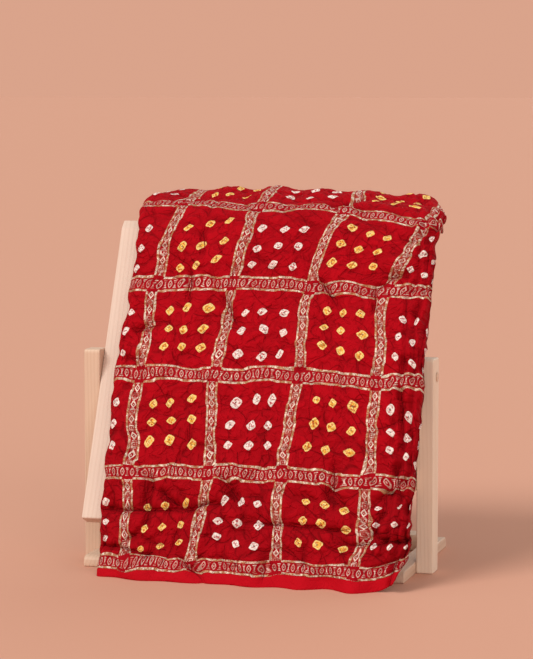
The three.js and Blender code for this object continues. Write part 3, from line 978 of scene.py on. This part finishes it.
# The zari's edges: the gold as a painted highlight, and the gold in painted shade
GOLD_HIGHLIGHT = (0.74, 0.63, 0.50, 1)
GOLD_IN_SHADE = (0.46, 0.24, 0.12, 1)
PALE_THREAD = (0.80, 0.66, 0.56, 1)
ROSE_THREAD = (0.48, 0.16, 0.13, 1)
GILT_GROUND = (0.36, 0.11, 0.06, 1)
FUZZ = (0.9, 0.12, 0.12, 1)
HEM_WIDTH = 13.5

material, net, shader = new_material("Bandhani cloth")


def map_in_mm(name):
    """The named UV map, in millimetres."""
    return net.scaled(net.add("UVMap", uv_map=name).outputs[0], 1 / MM)


position = map_in_mm("pattern")
dot_size = net.attribute("dot_size")
dots = net.group(tied_dots, {"Position": map_in_mm("dots"), "Size": dot_size})
zari = net.group(zari_check, {"Position": position})
weave = net.group(crinkled_weave, {"Position": position})
across, along = net.parts(position)[:2]
hem = net.step(along, HEM_WIDTH, HEM_WIDTH - 0.6)
not_hem = net.inverse(hem)

# The dark line of a crease is painted shade. It wanders a little beside the crease's middle
wander = net.math("SUBTRACT", net.noise(position, 0.3), 0.5)
beside = net.math("MULTIPLY_ADD", wander, 1.6, net.attribute("crease_side"))
beside = net.math("ABSOLUTE", beside)
crease_sharpness = net.attribute("crease_sharpness")
painted_crease_shade = net.times(net.step(beside, 0.95, 0.25), crease_sharpness)
crease_fall = net.times(net.step(beside, 4.0, 0.0), crease_sharpness)


def patches(scale, start, end, detail=2.0):
    """0 and 1 in patches: a noise, smoothly cut off between start and end."""
    return net.step(net.noise(position, scale, detail), start, end)


def web_line(name, half_width, scale, rarity):
    """A thin line where the named field of waves is zero, broken up by a noise."""
    field = net.math("ABSOLUTE", net.attribute(name))
    here = patches(scale, rarity, rarity + 0.08, detail=1.0)
    return net.times(net.step(field, half_width, 0.2 * half_width), here)


web_lines = net.any(
    web_line("web_long", 0.075, 0.04, 0.42),
    web_line("web_short", 0.11, 0.05, 0.45),
    net.times(web_line("web_fine", 0.19, 0.06, 0.49), 0.85),
)
# Strength of the painted shade along the webs' lines, more low down
web_shade = net.between(net.step(along, 330.0, 150.0), 0.42, 0.68)
# Painted shade at the right fold, where less light reaches it
painted_shade_right = net.times(net.step(across, 145.0, 170.0), 0.14)

# What darkens the red, from the broadest cause to the finest. After the uneven dye all of it is
# painted shade: low down and at the right, in the crinkles and valleys, beside the dots' pinches
# and along the webs' lines
colour = DEEP_RED
for shade in [
    net.times(net.noise(position, 0.018, detail=4.0), 0.36),
    net.math("MULTIPLY_ADD", net.step(along, 250.0, 90.0), 0.22, painted_shade_right),
    net.times(net.inverse(weave["Crinkle"]), 0.3),
    net.times(net.attribute("valley"), 0.36),
    net.times(dots["Pinch"], 0.5),
    net.times(web_lines, web_shade),
]:
    colour = net.blend(shade, colour, DARK_RED)
colour = net.blend(net.times(zari["Field"], 0.7), colour, BAND_RED)
colour = net.blend(hem, colour, HEM_RED)

# The dots: pale or yellow, with paler patches on the yellow that are painted highlights, then the
# dye that bled in, then the speck
smudge = net.times(
    patches(0.42, 0.49, 0.55, detail=3.0),
    net.between(dots["Chance"], 0.6, 1.0),
    net.between(dots["Rim"], 1.0, 0.25),
)
# The yellow turns paler in patches, which are painted highlights, and at the rims
pale = net.any(patches(0.3, 0.47, 0.58), net.times(dots["Rim"], 0.7))
dot_colour = net.blend(dots["Yellow"], UNDYED, net.blend(pale, YELLOW, PALE_YELLOW))
bled = net.blend(dots["Yellow"], BLED_RED, BLED_ORANGE)
dot_colour = net.blend(smudge, dot_colour, bled)
dot_colour = net.blend(net.times(dots["Speck"], 0.8), dot_colour, KNOT)
dot_mask = net.times(dots["Mask"], net.inverse(net.any(zari["Field"], hem)))
colour = net.blend(dot_mask, colour, dot_colour)

# The zari: its ground, then blocks and bars, lozenges and ovals, and the edges. Noise patches
# give fillings and edges their pale tone as a painted highlight, and their darker tone as painted
# shade
broken, patchy, painted_glint = patches(0.5, 0.36, 0.5), patches(0.055, 0.4, 0.6), patches(0.2, 0.42, 0.6)
rosy = net.math("MULTIPLY_ADD", zari["Stripe"], -0.4, net.between(patchy, 0.45, 0.8))
filling = net.times(zari["Filling"], net.between(broken, 0.5, 0.9), not_hem)
figure = net.times(zari["Figure"], net.between(broken, 0.7, 1.0), not_hem)
edge = net.times(zari["Edge"], net.between(broken, 0.35, 1.0), not_hem)
colour = net.blend(net.times(zari["Stripe"], patchy, 0.3, not_hem), colour, GILT_GROUND)
colour = net.blend(filling, colour, net.blend(painted_glint, ROSE_THREAD, PALE_THREAD))
colour = net.blend(figure, colour, net.blend(rosy, PALE_THREAD, ROSE_THREAD))
colour = net.blend(edge, colour, net.blend(painted_glint, GOLD_IN_SHADE, GOLD_HIGHLIGHT))
# Painted shade along the creases' lines
colour = net.blend(net.times(painted_crease_shade, 0.9), colour, DARK_RED)
metal = net.any(edge, figure, filling)

# Heights in metres. The hem is pressed flat, so the crinkles fade there
height = 0.0
for mask, rise in [
    (weave["Crinkle"], 0.0015),
    (dots["Pinch"], -0.0009),
    (dot_mask, 0.0005),
    (crease_fall, -0.0016),
    (web_lines, -0.0007),
]:
    height = net.math("MULTIPLY_ADD", mask, rise, height)
height = net.times(height, net.between(hem, 1.0, 0.3))
for mask, rise in [(weave["Weave"], 0.00003), (metal, 0.0002), (hem, 0.0008)]:
    height = net.math("MULTIPLY_ADD", mask, rise, height)

net.fill(shader, {
    "Base Color": colour,
    "Metallic": net.times(metal, 0.3),
    "Roughness": net.between(metal, 0.78, 0.44),
    "Specular IOR Level": 0.05,
    "Sheen Weight": 0.03,
    "Sheen Roughness": 0.4,
    "Sheen Tint": FUZZ,
    "Normal": net.add("Bump", {"Height": height, "Distance": 1.0, "Strength": 0.9}).outputs[0],
})
cloth_mesh.materials.append(material)

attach(cloth, "root")
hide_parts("cloth")

# %% [markdown]
# ## Bare pine
#
# A board is cut from a round trunk, so its grain is a slice through rings: long, nearly
# straight lines on its faces and arcs on its ends. The group measures the distance from a
# heart line beside the board, bends it with slow noise along the length, and draws the rings
# from it, with fine fibres on top. One group serves every board. Only the direction, the
# place in the trunk and the two tones change.

# %% Node group: planed wood
RING_PITCH = 0.0042
RING_BEND = 0.03
SLOW_SCALE = (1.6, 9.0, 9.0)
FIBRE_SCALE = (28.0, 900.0, 900.0)

net, entry, result = new_group(
    "Planed wood",
    {"Position": "Vector", "Light": "Color", "Dark": "Color", "Heart": "Vector"},
    {"Color": "Color", "Height": "Float", "Fibre": "Float"},
)
moved = net.vector("ADD", entry["Position"], entry["Heart"])
slow = net.vector("MULTIPLY", moved, SLOW_SCALE)
bend = net.math("SUBTRACT", net.noise(slow, 1.0), 0.5)
_, y, z = net.parts(moved)
squares = net.math("ADD", net.times(y, y), net.times(z, z))
radius = net.math("MULTIPLY_ADD", bend, RING_BEND, net.math("SQRT", squares))
ring = net.math("FRACT", net.math("DIVIDE", radius, RING_PITCH))
late = net.times(net.step(ring, 0.25, 0.9), net.step(ring, 1.0, 0.93))
fibre = net.noise(net.vector("MULTIPLY", moved, FIBRE_SCALE), 1.0, detail=3.0)
broad = net.noise(slow, 2.3)
tone = net.math("MULTIPLY_ADD", late, 0.24, net.times(broad, 0.35))
tone = net.math("MULTIPLY_ADD", fibre, 0.25, tone)
net.fill(result, {
    "Color": net.blend(tone, entry["Light"], entry["Dark"]),
    "Height": net.math("MULTIPLY_ADD", late, -0.4, net.times(fibre, 0.6)),
    "Fibre": fibre,
})
planed_wood = net.tree

# %% [markdown]
# ## The boards' materials
#
# The boards differ as bare pine does: the leaning frame is pale and the rest tanned. The right
# post is lighter than the other tanned boards, as painted light against the shadow that the cloth
# casts on it. The grain runs along each board, and each has its own place in the trunk.

# %% Wood materials
STILE_LEAN = np.radians(24.5)
TURN = {"x": (0.0, 0.0, 0.0), "y": (0.0, 0.0, -np.pi / 2), "z": (0.0, np.pi / 2, 0.0)}
PALE = {"Light": (0.80, 0.625, 0.52, 1), "Dark": (0.66, 0.47, 0.365, 1)}
# Lighter tones for the right post: painted light against the cloth's shadow on it
PAINTED_LIGHT_TAN = {"Light": (0.92, 0.76, 0.61, 1), "Dark": (0.80, 0.61, 0.46, 1)}
TAN = {"Light": (0.78, 0.57, 0.43, 1), "Dark": (0.60, 0.39, 0.26, 1)}
# Board: its tones, the direction of its length, and its place beside the heart of the trunk
BOARDS = {
    "post_left": (TAN, "z", (0.31, 0.050, 0.031)),
    "post_right": (PAINTED_LIGHT_TAN, "z", (0.92, 0.046, 0.038)),
    "runner_left": (TAN, "y", (1.53, 0.028, 0.055)),
    "runner_right": (TAN, "y", (2.17, 0.033, 0.047)),
    "rear_bar": (TAN, "x", (2.71, 0.041, 0.052)),
    "stop_rail": (TAN, "x", (3.36, 0.062, 0.024)),
    "pin_left": (TAN, "x", (3.92, 0.019, 0.012)),
    "pin_right": (TAN, "x", (4.48, 0.022, 0.014)),
    "stile_left": (PALE, "lean", (5.13, 0.074, 0.043)),
    "stile_right": (PALE, "lean", (5.77, 0.069, 0.051)),
    "top_rail": (PALE, "x", (6.29, 0.058, 0.036)),
    "lower_rail": (PALE, "x", (6.94, 0.063, 0.029)),
}


def wood(name, tones, along, heart):
    """Bare planed wood with its grain along one direction of the board.

    A leaning board is first turned upright about the level x axis.
    """
    material, net, shader = new_material("Wood of " + name)
    position = net.add("TexCoord").outputs["Object"]
    if along == "lean":
        position, along = net.turned(position, STILE_LEAN, "X"), "z"
    inputs = {"Vector": position, "Rotation": TURN[along]}
    turned = net.add("VectorRotate", inputs, rotation_type="EULER_XYZ").outputs[0]
    grain = net.group(planed_wood, {"Position": turned, "Heart": heart, **tones})
    bump = net.add("Bump", {"Height": grain["Height"], "Distance": 0.00035, "Strength": 0.6})
    net.fill(shader, {
        "Base Color": grain["Color"],
        "Roughness": net.between(grain["Fibre"], 0.46, 0.62),
        "Specular IOR Level": 0.35,
        "Normal": bump.outputs[0],
    })
    return material


for name, (tones, along_axis, heart) in BOARDS.items():
    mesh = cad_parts[name].data
    mesh.materials.clear()
    mesh.materials.append(wood(name, tones, along_axis, heart))

# %% [markdown]
# ## Floor and light
#
# A pale, warm floor that runs far back, and soft light, as in a small studio. The key is a
# very wide sun at the left front and above, which lights the floor evenly to its far edge. A
# fill from the right front and a weak sun from behind open the shade. Past the floor's edge
# the camera sees the tone of the lit floor, so no horizon shows. All other rays see a nearly
# grey light.

# %% Floor
FLOOR_HALF = 80.0
floor_mesh = bpy.data.meshes.new("floor")
floor_corners = np.array([[-1, -1, 0], [1, -1, 0], [1, 1, 0], [-1, 1, 0]]) * FLOOR_HALF
floor_mesh.from_pydata(floor_corners.tolist(), [], [(0, 1, 2, 3)])
floor = bpy.data.objects.new("floor", floor_mesh)
bpy.context.scene.collection.objects.link(floor)
material, net, shader = new_material("Pale floor")
floor_look = {"Base Color": (0.665, 0.350, 0.250, 1), "Roughness": 0.75, "Specular IOR Level": 0.05}
net.fill(shader, floor_look)
floor_mesh.materials.append(material)

# %% Lights
def sun(name, towards, angle, strength, colour):
    """A sun that shines from a direction, as wide as angle in degrees, so its shadows are soft."""
    data = bpy.data.lights.new(name, "SUN")
    data.angle = np.radians(angle)
    data.energy = strength
    data.color = colour
    light = bpy.data.objects.new(name, data)
    light.rotation_euler = Vector(towards).to_track_quat("Z", "Y").to_euler()
    bpy.context.scene.collection.objects.link(light)


sun("key", (-0.44, -0.58, 0.69), 28, 1.85, (1.0, 0.975, 0.93))
sun("fill", (0.55, -0.75, 0.35), 50, 0.8, (1.0, 0.98, 0.95))
sun("back", (0.35, 0.85, 0.45), 60, 0.6, (1.0, 0.97, 0.94))

SURROUND = (0.700, 0.369, 0.259, 1)
SOFT_LIGHT = (0.50, 0.47, 0.44, 1)
world = bpy.data.worlds.new("studio")
world.use_nodes = True
net = Net(world.node_tree)
background = world.node_tree.nodes["Background"].inputs
seen = net.add("LightPath").outputs["Is Camera Ray"]
net.fill(background, {"Color": net.blend(seen, SOFT_LIGHT, SURROUND)})
bpy.context.scene.world = world
bpy.context.scene.view_settings.view_transform = "Standard"
